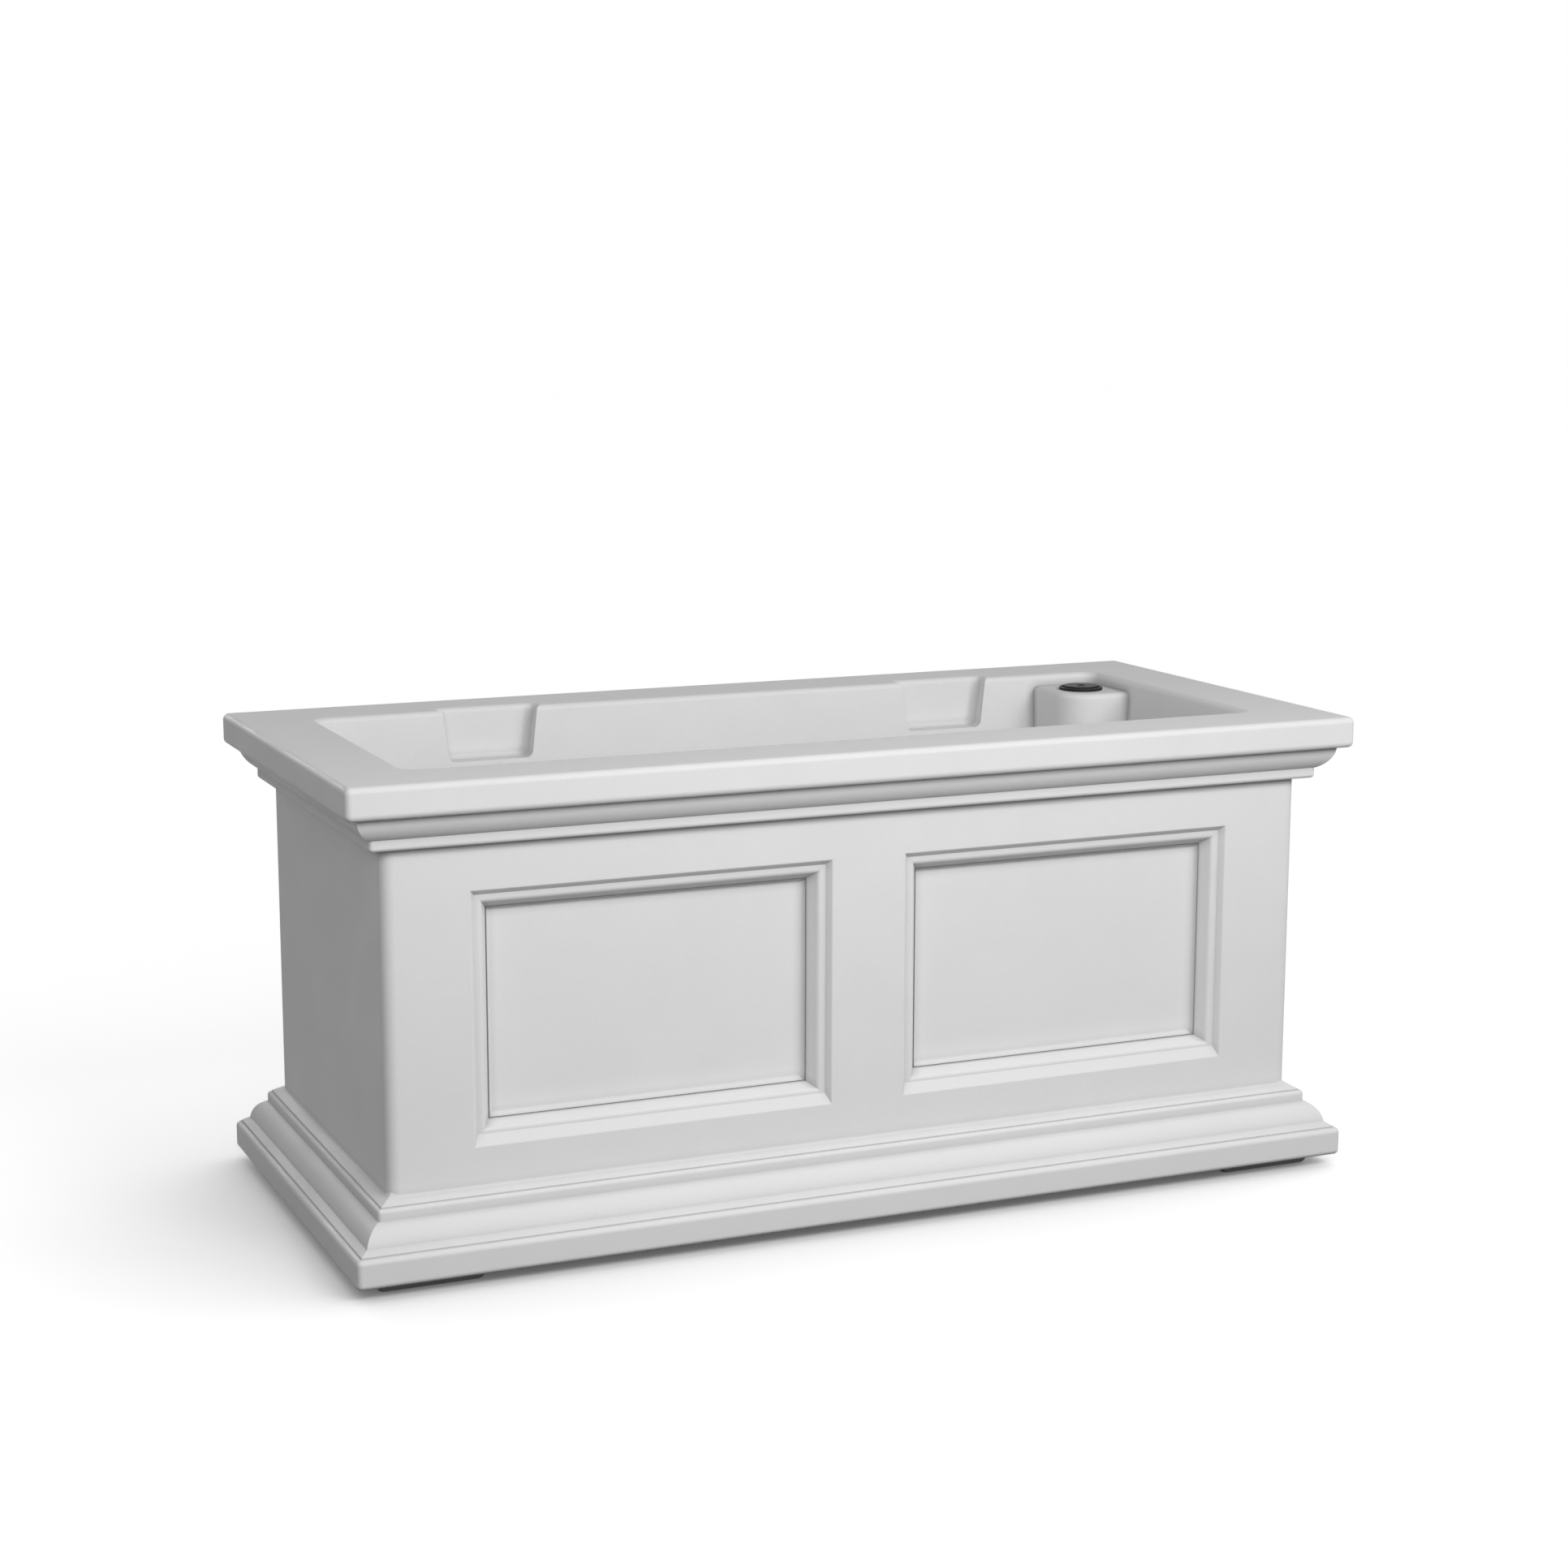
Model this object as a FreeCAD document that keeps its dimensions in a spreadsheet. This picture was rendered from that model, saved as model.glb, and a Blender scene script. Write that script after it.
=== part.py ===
"""Window box planter: a moulded double-wall trough with a water reservoir, two plugs and four feet.

Frame: X runs along the planter, the front faces -Y, Z is up, and the origin lies on the ground under
the middle of the planter. Sizes are millimetres. Levels are heights above the shell's underside, and
insets are distances in from the lip's outer faces.
"""
import FreeCAD, Part
import math
import os
import Sketcher

# Driving sizes: name, value, meaning
SIZES = [
    ("length", 609.6, "overall length, over the lip"),
    ("width", 279.4, "overall width, over the lip"),
    ("shell_height", 267.3, "moulded shell, from its underside to the rim"),
    ("skin", 3.2, "thickness of the moulded wall"),
    ("wall_inset", 24.0, "flat wall, set back from the lip"),
    ("wall_corner", 7.0, "rounding of the upright wall corners"),
    ("junction_round", 2.0, "hollow rounding at the foot of the wall"),
    ("band_projection", 7.8, "narrow band of a moulding, out from the wall"),
    ("band_height", 6.3, "height of that band"),
    ("band_round", 2.2, "rounding of the band's edges"),
    ("ovolo_projection", 8.7, "ovolo of a moulding, out from the band"),
    ("lip_height", 18.2, "flat face of the lip"),
    ("lip_round", 3.5, "rounding of the lip's edges"),
    ("cornice_ovolo_height", 13.2, "height of the ovolo under the lip"),
    ("cornice_ovolo_radius", 16.0, "curve of that ovolo"),
    ("plinth_height", 16.6, "plinth at the foot of the shell"),
    ("plinth_round", 3.0, "rounding of the plinth's edges"),
    ("plinth_slope_rise", 3.3, "slope from the plinth up to the base ovolo"),
    ("base_ovolo_height", 11.4, "height of the ovolo over the plinth"),
    ("base_ovolo_radius", 14.4, "curve of that ovolo"),
    ("wall_slope_rise", 3.7, "slope from the base band up to the wall"),
    ("slope_step", 0.7, "upright step at the foot of both slopes"),
    ("panel_end_stile", 48.4, "flat wall between a panel and the end of the front"),
    ("panel_gap", 44.6, "flat wall between the two panels"),
    ("panel_head", 26.1, "flat wall over a panel"),
    ("panel_foot", 21.7, "flat wall under a panel"),
    ("panel_edge_round", 1.2, "rounding where the wall turns into a panel's bevel"),
    ("bevel_depth", 3.4, "depth of a panel's bevel"),
    ("bevel_width", 2.9, "bevel at the sides and top"),
    ("sill_bevel_width", 6.2, "bevel at the bottom, which sheds water"),
    ("bead_face", 3.9, "face of the bead at the sides and top"),
    ("sill_bead_face", 2.3, "face of the bead at the bottom"),
    ("bead_drop", 7.3, "depth of the bead's inner slope"),
    ("bead_slope_width", 4.4, "inner slope at the sides and top"),
    ("sill_slope_width", 3.4, "inner slope at the bottom"),
    ("quirk", 0.8, "width and depth of the groove between the bead and the cove"),
    ("cove", 2.9, "hollow rounding round the flat field"),
    ("rim_width", 44.5, "rim, from the lip to the trough"),
    ("rim_round", 3.5, "rounding of the trough's mouth"),
    ("reservoir_height", 70.3, "trough's floor above the shell's underside"),
    ("trough_draft", 2.5, "draft of the trough's walls, degrees"),
    ("trough_corner", 9.0, "rounding of the trough's corners and floor"),
    ("well_length", 84.0, "floor of a wicking well, along the planter"),
    ("well_width", 64.0, "floor of a wicking well, across the planter"),
    ("well_floor", 11.0, "floor of a well above the shell's underside"),
    ("well_draft", 4.0, "draft of the wells' walls, degrees"),
    ("well_corner", 11.0, "rounding of the wells' corners"),
    ("wick_slot_length", 40.0, "slots in the floor of a well, across the planter"),
    ("wick_slot_width", 5.0, "width of a slot"),
    ("pocket_width", 60.0, "bracket pocket at the rim"),
    ("pocket_foot_width", 52.0, "bracket pocket at its bottom"),
    ("pocket_height", 31.4, "bracket pocket, down from the rim"),
    ("pocket_depth", 10.0, "bracket pocket, into the back of the trough"),
    ("pocket_corner", 4.5, "rounding of the pocket's lower corners"),
    ("tower_width", 42.9, "filler tower, from the end of the trough"),
    ("tower_depth", 49.5, "filler tower, from the back of the trough"),
    ("tower_corner", 20.0, "rounded corner of the tower"),
    ("tower_drop", 7.2, "top of the tower below the rim"),
    ("tower_round", 3.5, "rounding of the tower's top edge"),
    ("filler_bore", 23.0, "filler hole in the tower's top"),
    ("overflow_bore", 15.0, "overflow hole in the back wall"),
    ("plug_fit", 0.08, "radial clearance of a plug in its hole"),
    ("plug_brim", 2.4, "brim of a plug beyond its hole"),
    ("plug_brim_height", 1.8, "height of the brim"),
    ("plug_ring", 1.6, "raised ring round the brim"),
    ("plug_groove", 1.3, "sloping groove between that ring and the raised middle"),
    ("plug_groove_floor", 1.0, "bottom of the groove above the seat"),
    ("plug_crown", 2.6, "top of the plug's raised middle above its seat"),
    ("plug_shank", 13.0, "length of a plug below its brim"),
    ("plug_wall", 2.0, "wall of the hollow shank"),
    ("foot_stand", 7.0, "shell's underside above the ground"),
    ("foot_length", 57.5, "foot on the ground, along the planter"),
    ("foot_width", 38.0, "foot on the ground, across the planter"),
    ("foot_flare", 2.8, "widening of a foot up to its seat"),
    ("foot_end_inset", 15.5, "foot from the end of the plinth"),
    ("foot_side_inset", 14.0, "foot from the front or back of the plinth"),
    ("seat_depth", 1.0, "recess in the shell that takes a foot"),
    ("seat_clearance", 0.3, "room round a foot in its recess"),
]

# Narrow flat kept beside a rounded edge, and the least rounding of a hollow corner
LEDGE = 0.4
# Cutting forms run this far past the face that they open
OVERRUN = 8.0
# Lengths closer than this count as equal
NEAR = 0.01

# Formulas that several pieces share
HALF_LENGTH = "sizes.length / 2"
HALF_WIDTH = "sizes.width / 2"
BAND_INSET = "sizes.wall_inset - sizes.band_projection"
OVOLO_INSET = f"{BAND_INSET} - sizes.ovolo_projection"
LIP_FLOOR = "sizes.shell_height - sizes.lip_height"
CORNICE_BAND_TOP = f"{LIP_FLOOR} - sizes.cornice_ovolo_height"
CORNICE_BAND_FLOOR = f"{CORNICE_BAND_TOP} - sizes.band_height"
BASE_OVOLO_FLOOR = "sizes.plinth_height + sizes.plinth_slope_rise"
BASE_BAND_FLOOR = f"{BASE_OVOLO_FLOOR} + sizes.base_ovolo_height"
BASE_BAND_TOP = f"{BASE_BAND_FLOOR} + sizes.band_height"
WALL_FOOT = f"{BASE_BAND_TOP} + sizes.wall_slope_rise"
PANEL_WIDTH = f"({HALF_LENGTH} - sizes.wall_inset - sizes.panel_end_stile - sizes.panel_gap / 2)"
PANEL_X = f"(sizes.panel_gap + {PANEL_WIDTH}) / 2"
PANEL_SILL = f"{WALL_FOOT} + sizes.panel_foot"
PANEL_HEIGHT = f"({CORNICE_BAND_FLOOR} - sizes.panel_head - ({PANEL_SILL}))"
FIELD_DEPTH = "(sizes.bevel_depth + sizes.bead_drop + sizes.cove)"
TROUGH_HALF_LENGTH = f"{HALF_LENGTH} - sizes.rim_width"
TROUGH_HALF_WIDTH = f"{HALF_WIDTH} - sizes.rim_width"
WELL_X = f"({TROUGH_HALF_LENGTH}) * 0.48"
POCKET_X = "sizes.length / 4"
TOWER_TOP = "sizes.shell_height - sizes.tower_drop"
TOWER_LEFT = f"{TROUGH_HALF_LENGTH} - sizes.tower_width"
TOWER_FRONT = f"{TROUGH_HALF_WIDTH} - sizes.tower_depth"
FILLER_X = f"{TROUGH_HALF_LENGTH} - sizes.tower_width / 2"
FILLER_Y = f"{TROUGH_HALF_WIDTH} - sizes.tower_depth / 2"
OVERFLOW_LEVEL = f"({WALL_FOOT} + sizes.reservoir_height) / 2"

doc = FreeCAD.newDocument("window_box_planter")
sheet = doc.addObject("Spreadsheet::Sheet", "sizes")
for row, (size_name, size_value, size_note) in enumerate(SIZES, 1):
    sheet.set(f"A{row}", size_name)
    sheet.set(f"B{row}", str(size_value))
    sheet.set(f"C{row}", size_note)
    sheet.setAlias(f"B{row}", size_name)
doc.recompute()


def value(formula):
    """Number that a formula on the sheet gives now."""
    return float(sheet.evalExpression(str(formula)))


def new_body(label):
    """Empty body with the given name."""
    body = doc.addObject("PartDesign::Body", label)
    body.Label = label
    return body


def place(body, formula_x, formula_y, formula_z):
    """Tie a body's position to the sheet."""
    for letter, formula in zip("xyz", (formula_x, formula_y, formula_z)):
        body.setExpression(f"Placement.Base.{letter}", str(formula))


def origin_plane(body, role):
    """One of the body's own origin planes."""
    return next(item for item in body.Origin.OriginFeatures if item.Role == role)


def new_sketch(body, name, role, offset=None):
    """Sketch on an origin plane, moved along the plane's normal by a formula."""
    sketch = body.newObject("Sketcher::SketchObject", name)
    sketch.AttachmentSupport = [(origin_plane(body, role), "")]
    sketch.MapMode = "FlatFace"
    if offset is not None:
        sketch.setExpression("AttachmentOffset.Base.z", str(offset))
    return sketch


def pin(geometry, point, formula_x, formula_y):
    """Two ties that hold one point of a sketch at its place, each with its formula."""
    return [(Sketcher.Constraint(kind, -1, 1, geometry, point, value(formula)), formula)
            for kind, formula in (("DistanceX", formula_x), ("DistanceY", formula_y))]


def bend(geometry, formula):
    """Tie that holds an arc's radius."""
    return [(Sketcher.Constraint("Radius", geometry, value(formula)), formula)]


def link(kind, *places):
    """Tie between pieces of a sketch, with no formula."""
    return [(Sketcher.Constraint(kind, *places), None)]


def tie(sketch, ties):
    """Add ties to a sketch, and bind those that have a formula to the sheet."""
    numbers = sketch.addConstraint([constraint for constraint, _ in ties])
    for number, (_, formula) in zip(numbers, ties):
        if formula is not None:
            sketch.setExpression(f"Constraints[{number}]", str(formula))


def round_corner(sketch, corner, trim, before, after, heads):
    """Ties and arc of one rounded corner; before and after are (side, its end at the corner)."""
    formula_x, formula_y, rounding = corner
    point = FreeCAD.Vector(value(formula_x), value(formula_y), 0)
    first = point - heads[0] * trim
    last = point + heads[1] * trim
    inward = (first + last) * 0.5 - point
    middle = point + inward.normalize() * (math.hypot(value(rounding), trim) - value(rounding))
    arc = sketch.addGeometry(Part.ArcOfCircle(first, middle, last))
    at_first = 1 if (sketch.getPoint(arc, 1) - first).Length < NEAR else 2
    apex = sketch.addGeometry(Part.Point(point), True)
    ties = pin(apex, 1, formula_x, formula_y)
    ties += link("PointOnObject", apex, 1, before[0])
    ties += link("PointOnObject", apex, 1, after[0])
    ties += link("Tangent", *before, arc, at_first)
    ties += link("Tangent", *after, arc, 3 - at_first)
    return ties + bend(arc, rounding)


def outline(sketch, corners, bows=None):
    """Closed outline through corners (x, y, rounding or None), all given by formulas.

    bows turns a side into an arc that bulges to the left of its direction: {side: radius formula}, where
    side 0 leaves corner 0.
    """
    bows = bows or {}
    count = len(corners)
    points = [FreeCAD.Vector(value(x), value(y), 0) for x, y, _ in corners]
    heads = [(points[(i + 1) % count] - points[i]).normalize() for i in range(count)]
    turns = [heads[i - 1].getAngle(heads[i]) for i in range(count)]
    trims = [value(rounding) * math.tan(turn / 2) if rounding else 0.0
             for turn, (_, _, rounding) in zip(turns, corners)]
    sides = []
    for i in range(count):
        start = points[i] + heads[i] * trims[i]
        end = points[(i + 1) % count] - heads[i] * trims[(i + 1) % count]
        shape = Part.LineSegment(start, end)
        if i in bows:
            radius = value(bows[i])
            rise = radius - math.sqrt(radius ** 2 - ((end - start).Length / 2) ** 2)
            left = FreeCAD.Vector(-heads[i].y, heads[i].x, 0)
            shape = Part.ArcOfCircle(start, (start + end) * 0.5 + left * rise, end)
        side = sketch.addGeometry(shape)
        forward = (sketch.getPoint(side, 1) - start).Length < NEAR
        sides.append((side, 1, 2) if forward else (side, 2, 1))
    ties = []
    for i, corner in enumerate(corners):
        before = (sides[i - 1][0], sides[i - 1][2])
        after = (sides[i][0], sides[i][1])
        if corner[2]:
            ties += round_corner(sketch, corner, trims[i], before, after, (heads[i - 1], heads[i]))
        else:
            ties += link("Coincident", *before, *after)
            ties += pin(*after, corner[0], corner[1])
    for number, radius in bows.items():
        ties += bend(sides[number][0], radius)
    tie(sketch, ties)


def run(sketch, corners):
    """Open path through corners given by formulas."""
    points = [FreeCAD.Vector(value(x), value(y), 0) for x, y in corners]
    sides = [sketch.addGeometry(Part.LineSegment(a, b)) for a, b in zip(points, points[1:])]
    ties = pin(sides[-1], 2, *corners[-1])
    for before, after in zip(sides, sides[1:]):
        ties += link("Coincident", before, 2, after, 1)
    for side, corner in zip(sides, corners):
        ties += pin(side, 1, *corner)
    tie(sketch, ties)


def ring(sketch, formula_x, formula_y, diameter):
    """Circle placed and sized by formulas."""
    centre = FreeCAD.Vector(value(formula_x), value(formula_y), 0)
    circle = sketch.addGeometry(Part.Circle(centre, FreeCAD.Vector(0, 0, 1), value(diameter) / 2))
    tie(sketch, pin(circle, 3, formula_x, formula_y) + bend(circle, f"{diameter} / 2"))


def block(half_x, half_y, rounding=None, middle_x="0", middle_y="0"):
    """Corners of a rectangle about a middle point, counter-clockwise."""
    return [(f"{middle_x} {sx} ({half_x})", f"{middle_y} {sy} ({half_y})", rounding)
            for sx, sy in (("-", "-"), ("+", "-"), ("+", "+"), ("-", "+"))]


def pad(body, name, sketch, length, taper=None, reverse=False, midplane=False):
    """Pad of a sketch, with an optional taper."""
    feature = body.newObject("PartDesign::Pad", name)
    feature.Profile = sketch
    feature.setExpression("Length", str(length))
    if taper is not None:
        feature.setExpression("TaperAngle", str(taper))
    feature.Reversed = reverse
    feature.Midplane = midplane
    doc.recompute()
    return feature


def pocket(body, name, sketch, length=None, reverse=False):
    """Pocket of a sketch, through everything where no length is given."""
    before = body.Tip.Shape
    feature = body.newObject("PartDesign::Pocket", name)
    feature.Profile = sketch
    feature.Reversed = reverse
    if length is None:
        feature.Type = "ThroughAll"
    else:
        feature.setExpression("Length", str(length))
    doc.recompute()
    if len(feature.Shape.Faces) == len(before.Faces):
        raise RuntimeError(f"{name} cuts nothing")
    return feature


def slab(body, name, inset, floor, height, rounding=None, taper=None):
    """Slab of the planter's outline, set in from the lip, with an optional taper."""
    sketch = new_sketch(body, f"{name}_outline", "XY_Plane", floor)
    outline(sketch, block(f"{HALF_LENGTH} - ({inset})", f"{HALF_WIDTH} - ({inset})", rounding))
    return pad(body, name, sketch, height, taper)


def round_edges(body, name, chosen, radius):
    """Round the edges of the body's last feature that the test picks."""
    base = body.Tip
    picked = [f"Edge{i}" for i, edge in enumerate(base.Shape.Edges, 1) if chosen(edge.BoundBox)]
    feature = body.newObject("PartDesign::Fillet", name)
    feature.Base = (base, picked)
    feature.setExpression("Radius", str(radius))
    doc.recompute()
    return feature


def draft_sides(body, name, chosen, level, angle):
    """Draft the faces that the test picks, so that they widen upwards from the flat face at a level."""
    base = body.Tip
    faces = [(f"Face{i}", face.BoundBox) for i, face in enumerate(base.Shape.Faces, 1)]
    low = value(level)
    feature = body.newObject("PartDesign::Draft", name)
    feature.Base = (base, [label for label, box in faces if chosen(box)])
    feature.NeutralPlane = (base, [label for label, box in faces if is_level(box, low)])
    feature.setExpression("Angle", str(angle))
    feature.Reversed = True
    doc.recompute()
    return feature


def mirror(body, name, originals):
    """Mirror features from one end of the planter to the other."""
    feature = body.newObject("PartDesign::Mirrored", name)
    feature.Originals = originals
    feature.MirrorPlane = (origin_plane(body, "YZ_Plane"), [""])
    body.Tip = feature
    doc.recompute()
    return feature


def combine(body, name, others, kind):
    """Cut or intersect the body with other bodies."""
    feature = body.newObject("PartDesign::Boolean", name)
    feature.setObjects(others)
    feature.Type = kind
    doc.recompute()
    return feature


def at(number, target):
    """True where two lengths agree."""
    return abs(number - target) < NEAR


def is_level(box, level=None):
    """True for a box with no height, at the given level or at any."""
    return at(box.ZMin, box.ZMax) and (level is None or at(box.ZMin, level))


def slab_edges(inset, floor, top, flats):
    """Test for the outer edges of a slab: the upright ones, and the flat ones at the given levels."""
    reach_x = value(f"{HALF_LENGTH} - ({inset})")
    reach_y = value(f"{HALF_WIDTH} - ({inset})")
    low = value(floor) - NEAR
    high = value(top) + NEAR
    levels = [value(level) for level in flats]

    def chosen(box):
        outside_x = at(box.XMin, box.XMax) and at(abs(box.XMax), reach_x)
        outside_y = at(box.YMin, box.YMax) and at(abs(box.YMax), reach_y)
        upright = outside_x and outside_y and not is_level(box)
        flat = (outside_x or outside_y) and any(is_level(box, level) for level in levels)
        return low <= box.ZMin and box.ZMax <= high and (upright or flat)

    return chosen


def level_edges(level, reach_x, reach_y, rise="0"):
    """Test for edges that lie at a level, or climb no further than rise, in a rectangle about the middle."""
    low = value(level) - NEAR
    high = value(f"{level} + {rise}") + NEAR
    half_x = value(reach_x) + NEAR
    half_y = value(reach_y) + NEAR

    def chosen(box):
        within = abs(box.Center.x) < half_x and abs(box.Center.y) < half_y
        return within and low < box.ZMin and box.ZMax < high

    return chosen


def moulding(body, name, section, bows=None):
    """Half of a moulding that runs round the shell with mitred corners; section is (inset, level)."""
    path = new_sketch(body, f"{name}_run", "XY_Plane")
    run(path, [("0", f"-({HALF_WIDTH})"), (HALF_LENGTH, f"-({HALF_WIDTH})"), (HALF_LENGTH, HALF_WIDTH),
               ("0", HALF_WIDTH)])
    profile = new_sketch(body, f"{name}_section", "YZ_Plane")
    outline(profile, [(f"{inset} - {HALF_WIDTH}", level, None) for inset, level in section], bows)
    doc.recompute()
    feature = body.newObject("PartDesign::AdditivePipe", name)
    feature.Profile = profile
    feature.Spine = (path, [f"Edge{i + 1}" for i in range(len(path.Shape.Edges))])
    feature.Transition = "Right corner"
    doc.recompute()
    return feature


def outer_form():
    """The shell's outside: wall, lip, plinth and bands as rounded slabs, and the swept mouldings."""
    body = new_body("planter_shell")
    slab(body, "wall", "sizes.wall_inset", "0", "sizes.shell_height", "sizes.wall_corner")
    slab(body, "lip", "0", LIP_FLOOR, "sizes.lip_height")
    lip_edges = slab_edges("0", LIP_FLOOR, "sizes.shell_height", [LIP_FLOOR, "sizes.shell_height"])
    round_edges(body, "lip_rounding", lip_edges, "sizes.lip_round")
    slab(body, "plinth", "0", "0", "sizes.plinth_height")
    plinth_edges = slab_edges("0", "0", "sizes.plinth_height", ["0", "sizes.plinth_height"])
    round_edges(body, "plinth_rounding", plinth_edges, "sizes.plinth_round")
    slab(body, "cornice_band", BAND_INSET, CORNICE_BAND_FLOOR, "sizes.band_height")
    band_edges = slab_edges(BAND_INSET, CORNICE_BAND_FLOOR, CORNICE_BAND_TOP, [CORNICE_BAND_FLOOR])
    round_edges(body, "cornice_band_rounding", band_edges, "sizes.band_round")
    slab(body, "base_band", BAND_INSET, BASE_BAND_FLOOR, "sizes.band_height")
    band_edges = slab_edges(BAND_INSET, BASE_BAND_FLOOR, BASE_BAND_TOP, [BASE_BAND_TOP])
    round_edges(body, "base_band_rounding", band_edges, "sizes.band_round")
    core = "sizes.wall_inset + sizes.wall_corner"
    cornice = moulding(body, "cornice_ovolo", [
        (BAND_INSET, CORNICE_BAND_TOP), (OVOLO_INSET, LIP_FLOOR), (core, LIP_FLOOR),
        (core, CORNICE_BAND_TOP)], {0: "sizes.cornice_ovolo_radius"})
    toe = f"sizes.plinth_round + {LEDGE}"
    base = moulding(body, "base_ovolo", [
        (toe, "sizes.plinth_height"), (toe, "sizes.plinth_height + sizes.slope_step"),
        (OVOLO_INSET, BASE_OVOLO_FLOOR), (BAND_INSET, BASE_BAND_FLOOR), (core, BASE_BAND_FLOOR),
        (core, "sizes.plinth_height / 2")], {2: "sizes.base_ovolo_radius"})
    mirror(body, "mouldings_left", [cornice, base])
    toe = f"{BAND_INSET} + sizes.band_round + {LEDGE}"
    step = f"{BASE_BAND_TOP} + sizes.slope_step"
    slab(body, "wall_step", toe, BASE_BAND_TOP, "sizes.slope_step")
    climb = f"(sizes.wall_slope_rise - sizes.slope_step) * ({core} - ({toe})) / (sizes.wall_inset - ({toe}))"
    slab(body, "wall_slope", toe, step, climb, taper=f"-atan(({core} - ({toe})) / ({climb}))")
    wall_reach = (f"{HALF_LENGTH} - sizes.wall_inset", f"{HALF_WIDTH} - sizes.wall_inset")
    slope_edges = level_edges(WALL_FOOT, *wall_reach, "sizes.wall_slope_rise")
    round_edges(body, "slope_junction", slope_edges, "sizes.junction_round")
    return body


def panel_side(edge, facing, bevel, bead, slope):
    """Corners of one side of a panel's section, as (across, depth, rounding), from the wall to the field."""
    def across(*widths):
        return f"{edge} {facing} ({' + '.join(widths)})"

    lip_depth = "sizes.bevel_depth + sizes.bead_drop"
    return [(across(str(-OVERRUN / 4)), "0", None),
            (across("0"), "0", "sizes.panel_edge_round"),
            (across(bevel), "sizes.bevel_depth", None),
            (across(bevel, bead), "sizes.bevel_depth", "sizes.sill_bead_face * 1.3"),
            (across(bevel, bead, slope), lip_depth, None),
            (across(bevel, bead, slope, "sizes.quirk / 2"), f"{lip_depth} + sizes.quirk", None),
            (across(bevel, bead, slope, "sizes.quirk"), lip_depth, None),
            (across(bevel, bead, slope, "sizes.quirk"), FIELD_DEPTH, "sizes.cove * 0.95")]


def panel_section(near, far):
    """Whole section of a panel's recess, from the open air in front of the wall."""
    front = str(-OVERRUN / 4)
    return [(near[0][0], front, None), (far[0][0], front, None)] + far + near[::-1]


def panel_form(name, side):
    """A panel's recess: the length and height sections, extruded and intersected, which mitres them."""
    jambs = ("sizes.bevel_width", "sizes.bead_face", "sizes.bead_slope_width")
    sill = ("sizes.sill_bevel_width", "sizes.sill_bead_face", "sizes.sill_slope_width")
    across = new_body(f"panel_{name}")
    sketch = new_sketch(across, "panel_plan", "XY_Plane", -OVERRUN)
    outline(sketch, panel_section(panel_side(f"-{PANEL_WIDTH} / 2", "+", *jambs),
                                  panel_side(f"{PANEL_WIDTH} / 2", "-", *jambs)))
    pad(across, "panel_across", sketch, f"{PANEL_HEIGHT} + {2 * OVERRUN}")
    upright = new_body(f"panel_{name}_upright")
    sketch = new_sketch(upright, "panel_elevation", "YZ_Plane")
    section = panel_section(panel_side("0", "+", *sill), panel_side(PANEL_HEIGHT, "-", *jambs))
    outline(sketch, [(depth, level, rounding) for level, depth, rounding in section])
    pad(upright, "panel_up", sketch, f"{PANEL_WIDTH} + {2 * OVERRUN}", midplane=True)
    combine(across, "panel_mitres", [upright], "Common")
    place(across, f"{side} * {PANEL_X}", f"sizes.wall_inset - {HALF_WIDTH}", PANEL_SILL)
    return across


def soil_form(label, grow, rounded):
    """The space for soil, grown by a formula: drafted trough, wells and pockets, less the filler tower.

    Where rounded is set, the edges of the trough, wells and pockets are rounded, as the soil meets them.
    """
    body = new_body(label)
    floor = f"sizes.reservoir_height - {grow}"
    depth = f"(sizes.shell_height - sizes.reservoir_height + {grow})"
    draw_in = f"{depth} * tan(sizes.trough_draft)"
    sketch = new_sketch(body, "trough_floor", "XY_Plane", floor)
    outline(sketch, block(f"{TROUGH_HALF_LENGTH} + {grow} - {draw_in}",
                          f"{TROUGH_HALF_WIDTH} + {grow} - {draw_in}"))
    pad(body, "trough", sketch, f"{depth} + {OVERRUN}")
    draft_sides(body, "trough_walls", lambda box: not is_level(box), floor, "sizes.trough_draft")
    if rounded:
        level = value(floor)
        round_edges(body, "trough_rounding", lambda box: at(box.ZMin, level), "sizes.trough_corner")
    add_wells(body, grow, rounded)
    add_pockets(body, grow, rounded)
    sketch = new_sketch(body, "tower_outline", "XY_Plane", f"{TOWER_TOP} - {grow}")
    left = f"{TOWER_LEFT} + {grow}"
    front = f"{TOWER_FRONT} + {grow}"
    outline(sketch, [(left, front, f"sizes.tower_corner - {grow}"), (HALF_LENGTH, front, None),
                     (HALF_LENGTH, HALF_WIDTH, None), (left, HALF_WIDTH, None)])
    pocket(body, "tower", sketch)
    return body


def add_wells(body, grow, rounded):
    """Add the two wicking wells, which widen upwards, under the soil space."""
    sketch = new_sketch(body, "well_floors", "XY_Plane", f"sizes.well_floor - {grow}")
    for side in (-1, 1):
        outline(sketch, block(f"sizes.well_length / 2 + {grow}", f"sizes.well_width / 2 + {grow}", None,
                              f"{side} * {WELL_X}"))
    pad(body, "wells", sketch, "sizes.reservoir_height - sizes.well_floor")
    level = value(f"sizes.well_floor - {grow}")

    def climbs(box):
        return at(box.ZMin, level) and not is_level(box)

    draft_sides(body, "well_walls", climbs, f"sizes.well_floor - {grow}", "sizes.well_draft")
    if rounded:
        round_edges(body, "well_corners", climbs, "sizes.well_corner")


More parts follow.
